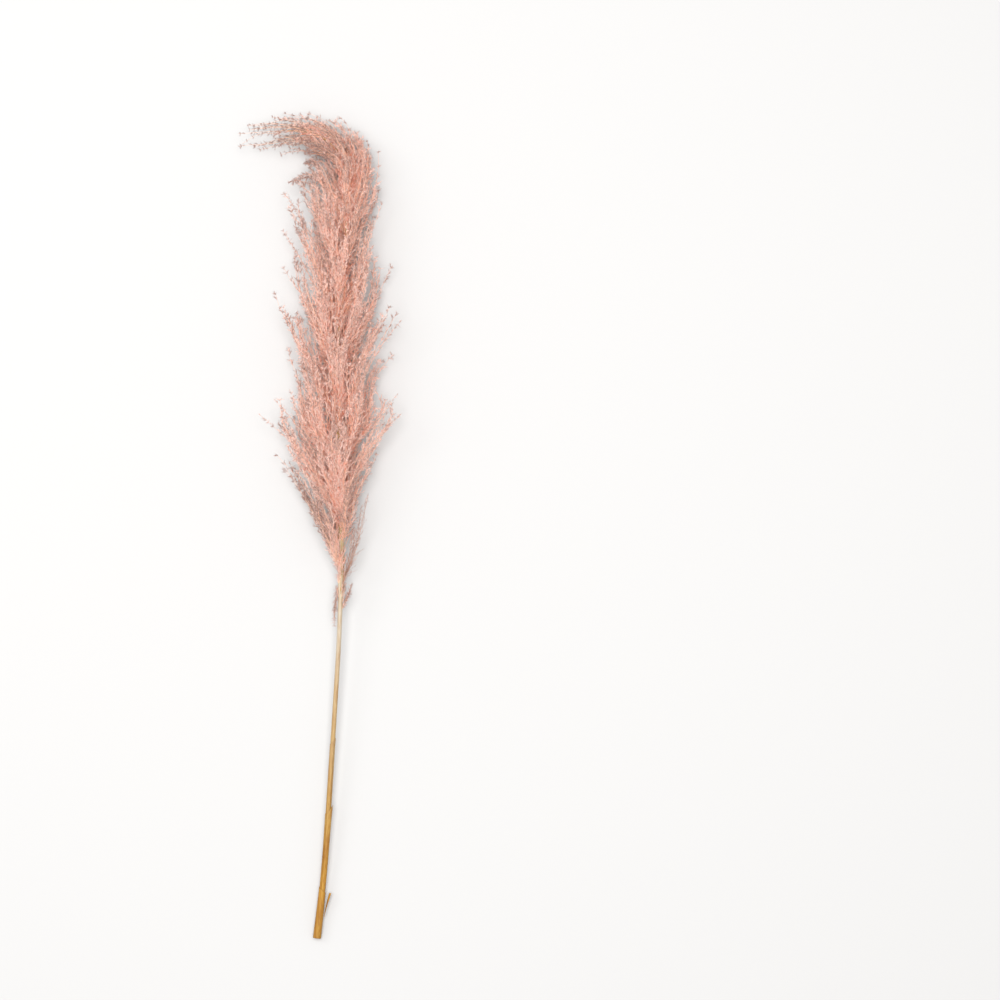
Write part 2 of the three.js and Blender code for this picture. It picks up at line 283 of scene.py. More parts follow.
def hairs(base, tip, width, tone, rng):
    """Long thin tetrahedra."""
    ring = waist(base, tip - base, np.full(len(base), width / 2), rng.normal(size=base.shape))
    points = np.concatenate([ring, tip[:, None]], 1)
    faces = np.array([(0, 2, 1), (0, 1, 3), (1, 2, 3), (2, 0, 3)])
    low, high = HAIR_BAND
    up_map = np.tile(np.append(low + CORNER_LIFT, high), (len(base), 1))
    tones = tone[:, None] + np.append(CORNER_TONE, 0)
    return gather(points, faces, tones, up_map)


def piece_from(name, groups, material, nodes):
    """One object from groups of strands. It stands for the given nodes and rides on the stem."""
    points, triangles, on_map, first = [], [], [], 0
    for some_points, some_triangles, some_map in groups:
        points.append(some_points)
        triangles.append(some_triangles + first)
        on_map.append(some_map)
        first += len(some_points)
    points, triangles, on_map = map(np.concatenate, (points, triangles, on_map))
    mesh = bpy.data.meshes.new(name)
    mesh.vertices.add(len(points))
    mesh.vertices.foreach_set("co", points.astype(np.float32).ravel())
    mesh.loops.add(triangles.size)
    mesh.loops.foreach_set("vertex_index", triangles.astype(np.int32).ravel())
    mesh.polygons.add(len(triangles))
    mesh.polygons.foreach_set("loop_start", np.arange(0, triangles.size, 3, dtype=np.int32))
    colour_map = mesh.uv_layers.new(name="OFBake")
    colour_map.uv.foreach_set("vector", on_map[triangles.ravel()].astype(np.float32).ravel())
    mesh.update(calc_edges=True)
    mesh.shade_smooth()
    return finished(name, mesh, material, nodes)


def finished(name, mesh, material, nodes):
    piece = bpy.data.objects.new(name, mesh)
    bpy.context.scene.collection.objects.link(piece)
    mesh.materials.append(material)
    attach(piece, "root")
    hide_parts(*nodes)
    return piece


# %% [markdown]
# ## Colours of the plume
# The plume is dyed a soft salmon pink. Deep between the branches, light has bounced from hair to hair
# and come back more orange, and that shade and bounced light is painted into the colour: strands near the
# rachis are coloured a deeper orange. Further out the strands are pale, and at the fringe they turn greyer.
# Painting by height or by position would slide over the strands, so the colour is read from each strand's
# own place on the colour map: one ramp across it for the tone and one up it from thread to hair.

# %% The plume's material
def linear(hex_colour):
    """A colour written as on a paint card, in the numbers that a shader works with."""
    parts = [int(hex_colour[i : i + 2], 16) / 255 for i in (1, 3, 5)]
    return [c / 12.92 if c <= 0.04045 else ((c + 0.055) / 1.055) ** 2.4 for c in parts] + [1]


def add_ramp(nodes, stops):
    ramp = nodes.new("ShaderNodeValToRGB")
    elements = ramp.color_ramp.elements
    while len(elements) < len(stops):
        elements.new(0.5)
    for element, (place, colour) in zip(elements, sorted(stops)):
        element.position = place
        element.color = linear(colour)
    return ramp


def new_material(name, roughness, sheen=0.0):
    material = bpy.data.materials.new(name)
    material.use_nodes = True
    nodes, links = material.node_tree.nodes, material.node_tree.links
    shader = nodes["Principled BSDF"]
    shader.inputs["Roughness"].default_value = roughness
    shader.inputs["Sheen Weight"].default_value = sheen
    shader.inputs["Specular IOR Level"].default_value = 0.3
    return material, nodes, links, shader


def mix_colours(nodes, links, way, first, second, share=1.0):
    mix = nodes.new("ShaderNodeMix")
    mix.data_type = "RGBA"
    mix.blend_type = way
    if isinstance(share, float):
        mix.inputs["Factor"].default_value = share
    else:
        links.new(share, mix.inputs["Factor"])
    links.new(first, mix.inputs["A"])
    links.new(second, mix.inputs["B"])
    return mix.outputs["Result"]


def plume_material(name, tones, along):
    material, nodes, links, shader = new_material(name, roughness=0.75, sheen=0.15)
    place = nodes.new("ShaderNodeUVMap")
    place.uv_map = "OFBake"
    split = nodes.new("ShaderNodeSeparateXYZ")
    links.new(place.outputs["UV"], split.inputs["Vector"])
    tone = add_ramp(nodes, tones)
    links.new(split.outputs["X"], tone.inputs["Fac"])
    strand = add_ramp(nodes, along)
    links.new(split.outputs["Y"], strand.inputs["Fac"])
    colour = mix_colours(nodes, links, "MULTIPLY", tone.outputs["Color"], strand.outputs["Color"])
    links.new(colour, shader.inputs["Base Color"])
    return material


# The lowest tones are painted shade and bounced light: the deeper orange of strands deep near the rachis.
PLUME_TONES = [
    (0.0, "#dc7a58"),
    (0.2, "#f9b29a"),
    (0.42, "#ffdbce"),
    (0.68, "#ffe0d6"),
    (0.84, "#dfb9ad"),
    (1.0, "#ac887d"),
]
STRAND_TINTS = [
    (0.0, "#f6e6c8"),
    (0.28, "#fdf3e8"),
    (0.33, "#fbeee8"),
    (0.62, "#ffffff"),
    (0.68, "#fff8f4"),
    (0.98, "#ffffff"),
]
plume_pink = plume_material("plume_pink", PLUME_TONES, STRAND_TINTS)
print("the plume's material has", len(plume_pink.node_tree.nodes), "nodes")

# %% [markdown]
# ## Growing a branch
# A pampas branch is a thread that carries shorter threads, the branchlets, all leaning forward at a
# narrow angle. Each branchlet carries spikelets by turns on one side and the other, and from the base
# of every other one comes a silky hair. Scattering spikelets at random would be easy, but it gives
# fluff. Growing them in that order gives the streaks that make the plume look combed. Spikelets differ
# in tone from their neighbours more than branchlets do, which breaks the streaks into short flecks.
#
# The lowest strands press against the surface. Cutting them off there would leave blunt ends, so a
# soft floor bends them: well above the surface it does nothing, and near it strands lie down on it.

# %% Branchlets, spikelets and hairs
SOFT_FLOOR = 1.6 * MM
LEAST_HEIGHT = 0.35 * MM


def laid_down(points):
    """The points with those near or under the surface lifted on to it, each by its own amount."""
    lifted = points.copy()
    above = np.clip((points[..., 2] - LEAST_HEIGHT) / SOFT_FLOOR, -30, 60)
    lifted[..., 2] = LEAST_HEIGHT + SOFT_FLOOR * np.log1p(np.exp(above))
    return lifted


def pick(paths, share):
    """The points and the ways at shares from 0 to 1 along paths. share has shape (paths, picks)."""
    steps = paths.shape[1]
    at = np.clip(share, 0, 0.9999) * (steps - 1)
    low = at.astype(int)
    rows = np.arange(len(paths))[:, None]
    start, end = paths[rows, low], paths[rows, low + 1]
    return start + (end - start) * (at - low)[..., None], unit(end - start)


def leaning(way, angle, rng, round_about=None):
    """Directions that lean from the way by an angle, round it at random or at the turn given."""
    first, second = two_across(way, np.broadcast_to((0.0, 0.0, 1.0), way.shape))
    turn = rng.uniform(0, 2 * np.pi, way.shape[:-1]) if round_about is None else round_about
    across = first * np.cos(turn)[..., None] + second * np.sin(turn)[..., None]
    return unit(way * np.cos(angle)[..., None] + across * np.sin(angle)[..., None]), across


REACH_STEP = 20 * MM
tuft_nodes = sorted(n for n in frame["nodes"] if n.startswith("tuft_"))
tuft_corners = told_by_rachis(np.concatenate([corners_and_edges(n)[0] for n in tuft_nodes]))
reach_at = np.arange(tuft_corners[:, 0].min(), tuft_corners[:, 0].max(), REACH_STEP)
reach_out = []
for level in reach_at:
    near = np.abs(tuft_corners[:, 0] - level) < REACH_STEP
    reach_out.append(np.percentile(np.abs(tuft_corners[near, 1:]), 85, axis=0))
reach_out = np.array(reach_out)
HOOK_TURNED = -0.25  # the hook starts where the rachis points this much to the left
hook_from = stations[np.argmax(route_way[:, 0] < HOOK_TURNED)]
HOOK_FADE = 120 * MM  # over this length past the start of the hook the plume turns greyer
print("the plume reaches", (reach_out.max(0) / MM).round(), "mm to the side and up at its fullest")


# The tone at the rachis is painted shade: deep in the plume the strands are coloured deeper orange for the
# light that is shaded and bounced there.
SHADED_TONE_AT_RACHIS, TONE_BY_DEPTH, TONE_BY_PATCH, TONE_IN_HOOK = 0.21, 0.4, 0.07, 0.36
FRINGE_FROM, FURTHEST = 0.95, 1.4  # depths, where 1 is as far out as most of the plume reaches
PATCH_ALONG, PATCH_ACROSS, PATCH_UP = 17 * MM, 9 * MM, 11 * MM


def tone_of(points, rng, scatter):
    """From a painted shade of deeper orange near the rachis to grey at the fringe and past the bend, in soft
    patches.
    """
    along, right, above = told_by_rachis(points).T
    side, up = (np.interp(along, reach_at, reach_out[:, i]) for i in range(2))
    depth = np.clip(np.hypot(right / side, above / up), 0, FURTHEST)
    patch = np.sin(along / PATCH_ALONG) * np.sin(right / PATCH_ACROSS + 1.3) * np.cos(above / PATCH_UP)
    fringe = np.maximum(depth - FRINGE_FROM, 0)
    hooked = TONE_IN_HOOK * np.clip((along - hook_from) / HOOK_FADE, 0, 1)
    tone = SHADED_TONE_AT_RACHIS + TONE_BY_DEPTH * (depth + fringe) + hooked + TONE_BY_PATCH * patch
    return tone + rng.normal(0, scatter, len(points))


# %% Dress a branch
BRANCHLET_POINTS = 6
BRANCHLET_LEAN = (12, 38)  # degrees from the branch
CURL = 2.3 * MM
BRANCHLET_BEND = (-0.3, 0.6)  # how much of its lean a branchlet loses by its tip
BRANCHLET_SAG = 0.06  # a share of its length
BRANCHLET_TIP = 0.16  # the length at the branch's tip, as a share of the length at its foot
CURL_TURNS = (4, 9)  # radians of wave along a branchlet
SPIKELET_LENGTH, SPIKELET_WIDTH = (4.2, 6.4), (0.6, 0.95)  # mm
HAIR_LENGTH, HAIR_WIDTH = (5, 9), 0.18 * MM  # the length in mm
SPIKELET_LEAN, HAIR_LEAN = (5, 19), (5, 26)  # degrees from the branchlet
HAIR_TONE = 0.05  # how much further up the tones a hair is than its spikelet
BRANCH_RADIUS, BRANCHLET_RADIUS = 0.45 * MM, 0.2 * MM
BRANCH_SCATTER, BRANCHLET_SCATTER, SPIKELET_SCATTER = 0.05, 0.12, 0.17  # of the tone


def branchlet_runs(paths, rng, each, length, bare):
    """Paths of the branchlets: long and close to the branch low down, and short at its tip."""
    share = np.linspace(bare, 0.99, each)[None].repeat(len(paths), 0)
    share = np.clip(share + rng.uniform(-0.5, 0.5, share.shape) / each, bare, 0.995)
    base, way = pick(paths, share)
    lean = np.radians(rng.uniform(*BRANCHLET_LEAN, share.shape)) * (1 - 0.5 * share)
    ways, across = leaning(way, lean, rng)
    tapers = BRANCHLET_TIP + (1 - BRANCHLET_TIP) * (1 - share) ** 0.6
    reach = length * rng.uniform(0.6, 1.25, share.shape) * tapers
    v = np.linspace(0, 1, BRANCHLET_POINTS)
    run = base[:, :, None] + (ways * reach[..., None])[:, :, None] * v[:, None]
    bend = across * (reach * np.sin(lean) * rng.uniform(*BRANCHLET_BEND, share.shape))[..., None]
    sag = np.array([0, 0, -BRANCHLET_SAG]) * reach[..., None]
    turns, phase = rng.uniform(*CURL_TURNS, share.shape), rng.uniform(0, 6, share.shape)
    wave = np.sin(v * turns[..., None] + phase[..., None])
    curl = np.cross(ways, across)[:, :, None] * (CURL * wave * v)[..., None]
    run = run + (sag - bend)[:, :, None] * (v**2)[:, None] + curl
    return run.reshape(-1, BRANCHLET_POINTS, 3)


def clothe(paths, rng, branchlets, length, spikelets_each, bare=0.03, grain=1.0, worn=0.0):
    """The strands of branches that run along paths: threads, branchlets, spikelets and hairs. The
    spikelets of a slim branch are smaller by the share grain, and a worn branch is greyer."""
    run = branchlet_runs(paths, rng, branchlets, length, bare)
    run_tone = tone_of(run[:, 2], rng, BRANCHLET_SCATTER) + worn

    seats = np.linspace(0.06, 0.95, spikelets_each)[None].repeat(len(run), 0)
    seats = seats + rng.uniform(-0.3, 0.3, seats.shape) / spikelets_each
    seat, along = pick(run, seats)
    sides = np.pi * (np.arange(spikelets_each) % 2) + rng.uniform(-0.7, 0.7, seats.shape)
    turned = sides + rng.uniform(0, 2 * np.pi, (len(run), 1))
    pointing, _ = leaning(along, np.radians(rng.uniform(*SPIKELET_LEAN, seats.shape)), rng, turned)
    seat, pointing, along = (a.reshape(-1, 3) for a in (seat, pointing, along))
    end = seat + pointing * (rng.uniform(*SPIKELET_LENGTH, len(seat)) * grain * MM)[:, None]
    width = rng.uniform(*SPIKELET_WIDTH, len(seat)) * grain * MM
    tone = run_tone.repeat(spikelets_each) + rng.normal(0, SPIKELET_SCATTER, len(seat))

    hairy = slice(None, None, 2)
    hair_seat, hair_tone = seat[hairy], tone[hairy] + HAIR_TONE
    hair_way, _ = leaning(along[hairy], np.radians(rng.uniform(*HAIR_LEAN, len(hair_seat))), rng)
    hair_tip = hair_seat + hair_way * (rng.uniform(*HAIR_LENGTH, len(hair_seat)) * grain * MM)[:, None]
    branch_tone = tone_of(paths[:, 3], rng, BRANCH_SCATTER)
    return [
        threads(laid_down(paths), np.full(len(paths), BRANCH_RADIUS), branch_tone, rng),
        threads(laid_down(run), np.full(len(run), BRANCHLET_RADIUS), run_tone, rng),
        spikelets(laid_down(seat), laid_down(end), width, tone, rng),
        hairs(laid_down(hair_seat), laid_down(hair_tip), HAIR_WIDTH, hair_tone, rng),
    ]


# %% [markdown]
# ## From a tuft to its branches
# In the model each main branch is one leaf-shaped tuft. A real main branch divides near its base into
# a sheaf of finer ones that fill that shape and then fray beyond it. So the tuft is sliced along the
# rachis to find how its middle and its width run, and a sheaf of paths is laid through the slices. The
# tuft narrows to a point, but the sheaf fans out as it goes and its branches end one by one, or the
# plume would look like an artichoke. One branch, the leader, runs on to the tuft's tip or close to it.

# %% The form of one tuft
SLICES = 12


def form_of(node):
    """Where a tuft starts and ends along the rachis, and its slices' middles and half widths."""
    corners, pairs = corners_and_edges(node)
    told = told_by_rachis(corners)
    first, last = told[:, 0].min(), told[:, 0].max()
    levels = first + (last - first) * np.linspace(0.03, 0.97, SLICES)
    rings = [slice_through(told, pairs, told[:, 0] - level) for level in levels]
    middle = np.array([(r[:, 1:].min(0) + r[:, 1:].max(0)) / 2 for r in rings])
    half = np.array([(r[:, 1:].max(0) - r[:, 1:].min(0)) / 2 for r in rings])
    return {"first": first, "last": last, "levels": levels, "middle": middle, "widest": half.max(0)}


# %% The sheaf of one tuft
PATH_POINTS = 14
INSET = 5 * MM  # room at the sides for the branchlets
DRAWN_IN = 0.93  # the sheaf runs a little nearer to the rachis than the middle of its tuft
FAN = (1.38, 1.1)  # how far the sheaf spreads to the side and up, as a share of the tuft
LEAVES_AT, ENDS_AT = (-0.05, 0.1), (0.5, 0.93)  # shares of the tuft's length
SWAY, STRAY = 2.6 * MM, 4 * MM
SWAY_WAVES = (1, 2.6)  # half waves along a path


def sheaf(form, count, rng, starts=0.0, leader=1.0, sway_by=SWAY):
    """Paths of a tuft's fine branches, of shape (count, PATH_POINTS, 3). They fan out as they go.
    They leave the rachis near the share starts, and the leader ends at the share leader."""
    first, length = form["first"], form["last"] - form["first"]
    leaves_at = first + length * (starts + rng.uniform(*LEAVES_AT, count))
    ends_at = first + length * rng.uniform(*ENDS_AT, count)
    turn = rng.uniform(0, 2 * np.pi, count)
    out = rng.uniform(0.02, 1.0, count) ** 0.6
    ends_at[0], out[0] = first + length * leader, 0.1  # the leader makes the tuft's own tip
    t = np.linspace(0, 1, PATH_POINTS)
    along = leaves_at[:, None] + (ends_at - leaves_at)[:, None] * t
    fan = t**0.9 * ((ends_at - leaves_at) / length)[:, None]
    offset = []
    for i, side in enumerate((np.cos(turn), np.sin(turn))):
        centre = DRAWN_IN * np.interp(along, form["levels"], form["middle"][:, i])
        wide = max(form["widest"][i] - INSET, 0.3 * form["widest"][i])
        spread = FAN[i] * wide * (out * side)[:, None] * fan
        waves = np.sin(t * np.pi * rng.uniform(*SWAY_WAVES, (count, 1)))
        sway = rng.normal(0, sway_by, (count, 1)) * waves
        stray = rng.normal(0, STRAY, (count, 1)) * t**3
        offset.append((centre + sway) * (1 - (1 - t) ** 3) + spread + stray)
    return from_rachis(along, *offset)


# %% Grow the plume
BRANCHES_PER_TUFT = 22
BRANCHLETS, SPIKELETS = 22, 11
BRANCHLET_LENGTH = 24 * MM
FULL_BREADTH = 19 * MM  # half the width of a full tuft; a slimmer one is dressed more lightly
SLIM, SLIM_LEADER = 0.75, 0.97  # the tail's slim tufts end short of their tips, in streamers
SLIM_SWAY = 4.2 * MM
WORN_WHEN_SLIM = 1.5  # how much greyer a tuft is, for each share that it is slimmer than SLIM
NECK_LENGTH, OPEN_NECK = 12 * MM, 0.3  # on its right the neck is bare for this share of a tuft
first_branch = reach_at[0]
HOOK_MARGIN, OUTER_LEADER = 20 * MM, 0.86  # outside the bend the leader ends well short of the tip
faces_grown = 0
for number, node in enumerate(tuft_nodes):
    rng = np.random.default_rng(1000 + number)
    form = form_of(node)
    fullness = float(np.clip(form["widest"].mean() / FULL_BREADTH, 0.3, 1))
    at_neck_right = form["first"] < first_branch + NECK_LENGTH and form["middle"][-1, 0] > 0
    starts = OPEN_NECK if at_neck_right else 0.0
    outer_in_hook = form["last"] > hook_from + HOOK_MARGIN and form["middle"][-1, 0] > 0
    leader, sway_by = (1.0, SWAY) if fullness > SLIM else (SLIM_LEADER, SLIM_SWAY)
    if outer_in_hook:
        leader = OUTER_LEADER
    count = round(BRANCHES_PER_TUFT * fullness**1.6)
    paths = sheaf(form, count, rng, starts, leader, sway_by)
    each, reach = round(BRANCHLETS * fullness**0.4), BRANCHLET_LENGTH * fullness
    worn = WORN_WHEN_SLIM * max(SLIM - fullness, 0)
    strands = clothe(paths, rng, each, reach, SPIKELETS, grain=fullness**0.5, worn=worn)
    branch = piece_from(node.replace("tuft", "branch"), strands, plume_pink, [node])
    faces_grown += len(branch.data.polygons)
    half_width = round(form["widest"].mean() / MM, 1)
    print(node, "is", half_width, "mm wide to a side and has", len(paths), "branches")
print(len(tuft_nodes), "tufts grown into branches with", faces_grown, "faces")

# %% [markdown]
# ## Branches between the tufts
# The tufts stand for the main branches only. Between them the rachis carries many lesser ones that
# close the gaps, so that the surface does not show through the plume. They could be shared out among
# the tufts, but then each tuft would lose its own outline, so they are two pieces of their own: one
# for the whole plume, and one for the outer side of the bend, where the tufts spread furthest apart.

# %% Fill between the tufts
LESSER = [  # name, how many, the first and the last along the rachis, how long, how far to the right
    ("lesser_branches", 84, first_branch + 25 * MM, hook_from, (85, 135), (-0.72, 0.8)),
    ("shoulder_branches", 44, hook_from - 95 * MM, hook_from - 20 * MM, (60, 92), (-0.1, 1.0)),
]
LESSER_BRANCHLETS, LESSER_LENGTH, LESSER_SPIKELETS = 20, 22 * MM, 9
t = np.linspace(0, 1, PATH_POINTS)
for number, (name, count, lowest, highest, run, spread) in enumerate(LESSER):
    rng = np.random.default_rng(2500 + number)
    leaves_at = rng.uniform(lowest, highest, count)
    ends_at = leaves_at + rng.uniform(*run, count) * MM
    along = leaves_at[:, None] + (ends_at - leaves_at)[:, None] * t
    side, up = (np.interp(ends_at, reach_at, reach_out[:, i]) for i in range(2))
    right = (rng.uniform(*spread, count) * side)[:, None] * t**0.9
    above = (rng.uniform(-0.5, 0.3, count) * up)[:, None] * t**0.9
    waves = np.sin(t * np.pi * rng.uniform(*SWAY_WAVES, (count, 1)))
    wander = rng.normal(0, SWAY, (count, 1)) * waves
    paths = from_rachis(along, right + wander, above)
    strands = clothe(paths, rng, LESSER_BRANCHLETS, LESSER_LENGTH, LESSER_SPIKELETS)
    lesser = piece_from(name, strands, plume_pink, [])
    print(count, "branches in", name, "with", len(lesser.data.polygons), "faces")

# %% [markdown]
# ## Strays
# A few long branches have sprung out of the plume and bend away from it. They give it a ragged outline.
# Moving branches out of their tufts could leave bare spots, so each stray is grown by itself. It is told
# by where it leaves the rachis, where its tip is, and how much it bends outwards on the way.

# %% Grow the strays
STRAYS = [  # leaves the rachis and tip, in mm past the first branch; tip right and above; bend outwards
    (55, 207, -98, 6, 0.75),
    (75, 224, -80, 14, 0.6),
    (80, 206, 80, 2, 0.6),
    (95, 228, 74, 16, 0.35),
    (160, 326, 78, 6, 0.45),
    (345, 480, -82, 4, 0.3),
    (290, 428, -78, -6, 0.35),
    (405, 500, -62, 8, 0.1),
    (430, 520, -70, 2, 0.15),
    (440, 535, -60, -6, 0.1),
    (455, 548, -68, 6, 0.0),
]
stray_paths = []
rng = np.random.default_rng(3000)
t = np.linspace(0, 1, PATH_POINTS)
for leaves, tip, right, above, bend in STRAYS:
    along = first_branch + (leaves + (tip - leaves) * t) * MM
    outward = (1 - bend) * t + bend * t**2.4
    wander = rng.normal(0, 2.2 * MM, 2)[:, None] * np.sin(t * np.pi * rng.uniform(1.4, 2.6))
    stray_paths.append(from_rachis(along, right * MM * outward + wander[0], above * MM * outward + wander[1]))
STRAY_BRANCHLETS, STRAY_LENGTH, STRAY_SPIKELETS = 40, 9 * MM, 7
STRAY_BARE, STRAY_GRAIN = 0.15, 0.72
stray_paths = np.array(stray_paths)
strands = clothe(
    stray_paths, rng, STRAY_BRANCHLETS, STRAY_LENGTH, STRAY_SPIKELETS, bare=STRAY_BARE, grain=STRAY_GRAIN
)
strays = piece_from("stray_branches", strands, plume_pink, [])
print(len(STRAYS), "strays with", len(strays.data.polygons), "faces")

# %% [markdown]
# ## The loose wisps at the neck
# Below the plume a few thin branches stand off by themselves. They are worn, and so greyer. Each is
# a few threads together, the longest on a path through the middle of its node. The node stands clear
# of the stalk, and a real wisp springs from it, so each path is drawn in towards the stalk at its foot.

# %% Grow the wisps
WISP_SLICES = 9
WISP_SLICE = 0.09  # half the depth of a slice, as a share of the wisp


def path_through(node):
    corners, _ = corners_and_edges(node)
    told = told_by_rachis(corners)
    far = corners[np.abs(told[:, 1]).argmax()]
    near = corners[np.linalg.norm(corners - far, axis=1).argmax()]
    way = unit(far - near)
    reach = (corners - near) @ way
    share = np.linspace(0, 1, WISP_SLICES)
    near_by = WISP_SLICE * reach.max()
    middle = [corners[np.abs(reach - level) < near_by].mean(0) for level in reach.max() * share]
    middle = np.array(middle)
    at = np.linspace(0, 1, PATH_POINTS)
    return np.stack([np.interp(at, share, middle[:, i]) for i in range(3)], 1)


COMPANIONS = (1.0, 0.85, 0.65, 0.45)  # how much of the wisp's length each of its branches runs
SHORT_WISP = 90 * MM
ROOTED = 0.45  # a wisp starts at this share of its node's distance from the rachis
WORN = 0.14
WISP_SPIKELETS, WISP_BARE, WISP_GRAIN = 6, 0.04, 0.66
LONG_FORM = {"threads": 4, "drawn": 3, "apart": 0.075, "each": 30, "reach": 17 * MM}
SHORT_FORM = {"threads": 3, "drawn": 1, "apart": 0.03, "each": 16, "reach": 7 * MM}
for number, node in enumerate(sorted(n for n in frame["nodes"] if n.startswith("wisp_"))):
    rng = np.random.default_rng(2000 + number)
    whole = path_through(node)
    length = np.linalg.norm(whole[-1] - whole[0])
    style = SHORT_FORM if length < SHORT_WISP else LONG_FORM
    t = np.linspace(0, 1, PATH_POINTS)
    foot, foot_right, foot_above = told_by_rachis(whole[:1])[0]
    drawn_in = from_rachis(foot, ROOTED * foot_right, ROOTED * foot_above) - whole[0]
    whole = whole + drawn_in * ((1 - t) ** style["drawn"])[:, None]
    paths = []
    for share in COMPANIONS[: style["threads"]]:
        path = np.stack([np.interp(t * share, t, whole[:, i]) for i in range(3)], 1)
        apart = style["apart"] * length * (1.2 - share)
        paths.append(path + rng.normal(0, apart, 3) * t[:, None] ** 1.2)
    each, reach = style["each"], style["reach"]
    strands = clothe(
        np.array(paths), rng, each, reach, WISP_SPIKELETS, bare=WISP_BARE, grain=WISP_GRAIN, worn=WORN
    )
    piece_from(node.replace("wisp", "loose_branch"), strands, plume_pink, [node])
    print(node, "runs", round(length / MM), "mm")

# %% [markdown]
# ## Straw
# The stalk fades from cream under the plume to golden brown at the cut, where it is older and was less
# shaded. Straw has veins that run its whole length, so the noise for the streaks is stretched along the
# stalk: about a hundred times finer across it than along it. The same streaks drive a shallow bump.

# %% Straw materials
cut_y = cad_box[0].y
neck_y = float(on_route(route, first_branch)[1])
plume_y = neck_y + 75 * MM  # from here on the rachis is golden
neck_share = (neck_y - cut_y) / (plume_y - cut_y)
VEINS_ACROSS, VEINS_ALONG, STAINS_ACROSS, STAINS_ALONG = 1600, 14, 160, 26  # how many in a metre
STAIN, STAIN_SHARE = "#c9a070", 0.5


def straw_material(name, by_length, streak_dark, streak_share, bump_depth):
    material, nodes, links, shader = new_material(name, roughness=0.5)
    place = nodes.new("ShaderNodeTexCoord").outputs["Object"]
    split = nodes.new("ShaderNodeSeparateXYZ")
    links.new(place, split.inputs["Vector"])
    length = nodes.new("ShaderNodeMapRange")
    length.inputs["From Min"].default_value = cut_y
    length.inputs["From Max"].default_value = plume_y
    links.new(split.outputs["Y"], length.inputs["Value"])
    colour = add_ramp(nodes, by_length)
    links.new(length.outputs["Result"], colour.inputs["Fac"])

    def stretched_noise(across, along, detail):
        squeeze = nodes.new("ShaderNodeMapping")
        squeeze.inputs["Scale"].default_value = (across, along, across)
        links.new(place, squeeze.inputs["Vector"])
        noise = nodes.new("ShaderNodeTexNoise")
        noise.inputs["Scale"].default_value = 1.0
        noise.inputs["Detail"].default_value = detail
        links.new(squeeze.outputs["Vector"], noise.inputs["Vector"])
        return noise.outputs["Fac"]

    veins = stretched_noise(VEINS_ACROSS, VEINS_ALONG, 3.0)
    stains = stretched_noise(STAINS_ACROSS, STAINS_ALONG, 4.0)
    vein_shade = add_ramp(nodes, [(0.32, streak_dark), (0.62, "#ffffff")])
    links.new(veins, vein_shade.inputs["Fac"])
    stain_shade = add_ramp(nodes, [(0.3, STAIN), (0.55, "#ffffff")])
    links.new(stains, stain_shade.inputs["Fac"])
    plain, streaks, spots = (n.outputs["Color"] for n in (colour, vein_shade, stain_shade))
    veined = mix_colours(nodes, links, "MULTIPLY", plain, streaks, streak_share)
    stained = mix_colours(nodes, links, "MULTIPLY", veined, spots, STAIN_SHARE)
    links.new(stained, shader.inputs["Base Color"])
    bump = nodes.new("ShaderNodeBump")
    bump.inputs["Strength"].default_value = 0.5
    bump.inputs["Distance"].default_value = bump_depth
    links.new(veins, bump.inputs["Height"])
    links.new(bump.outputs["Normal"], shader.inputs["Normal"])
    return material


CULM_BY_LENGTH = [
    (0.0, "#b08d3d"),
    (0.25 * neck_share, "#b08e4b"),
    (0.5 * neck_share, "#b19662"),
    (0.7 * neck_share, "#b39b75"),
    (0.86 * neck_share, "#c1b9a7"),
    (neck_share, "#c0b6a2"),
    (0.3 * neck_share + 0.7, "#c0b192"),
    (1.0, "#b28e48"),
]
SHEATH_BY_LENGTH = [
    (0.0, "#a67d31"),
    (0.12 * neck_share, "#ac8030"),
    (0.22 * neck_share, "#af8635"),
    (0.38 * neck_share, "#af8e50"),
    (0.56 * neck_share, "#b1976b"),
]
culm_straw = straw_material("culm_straw", CULM_BY_LENGTH, "#d9b48c", 0.6, 0.05 * MM)
sheath_straw = straw_material("sheath_straw", SHEATH_BY_LENGTH, "#c58f55", 0.7, 0.08 * MM)
golden_straw = straw_material("golden_straw", [(0.8, "#b08b45"), (1.0, "#b5924c")], "#b98a48", 0.5, 0.03 * MM)
print("three kinds of straw, from the cut at", round(cut_y / MM), "to the neck at", round(neck_y / MM), "mm")

# %% [markdown]
# ## The stalk
# The culm is a straight-grained rod with shallow flutes between its veins. A cylinder would be quick,
# but the culm bends, swells at the collar and tapers in the plume, so its rings are laid along the route
# with the radius that the slices gave. The cut end shows a hard rim and a sunken pith.

# %% Build the culm
SIDES = 40


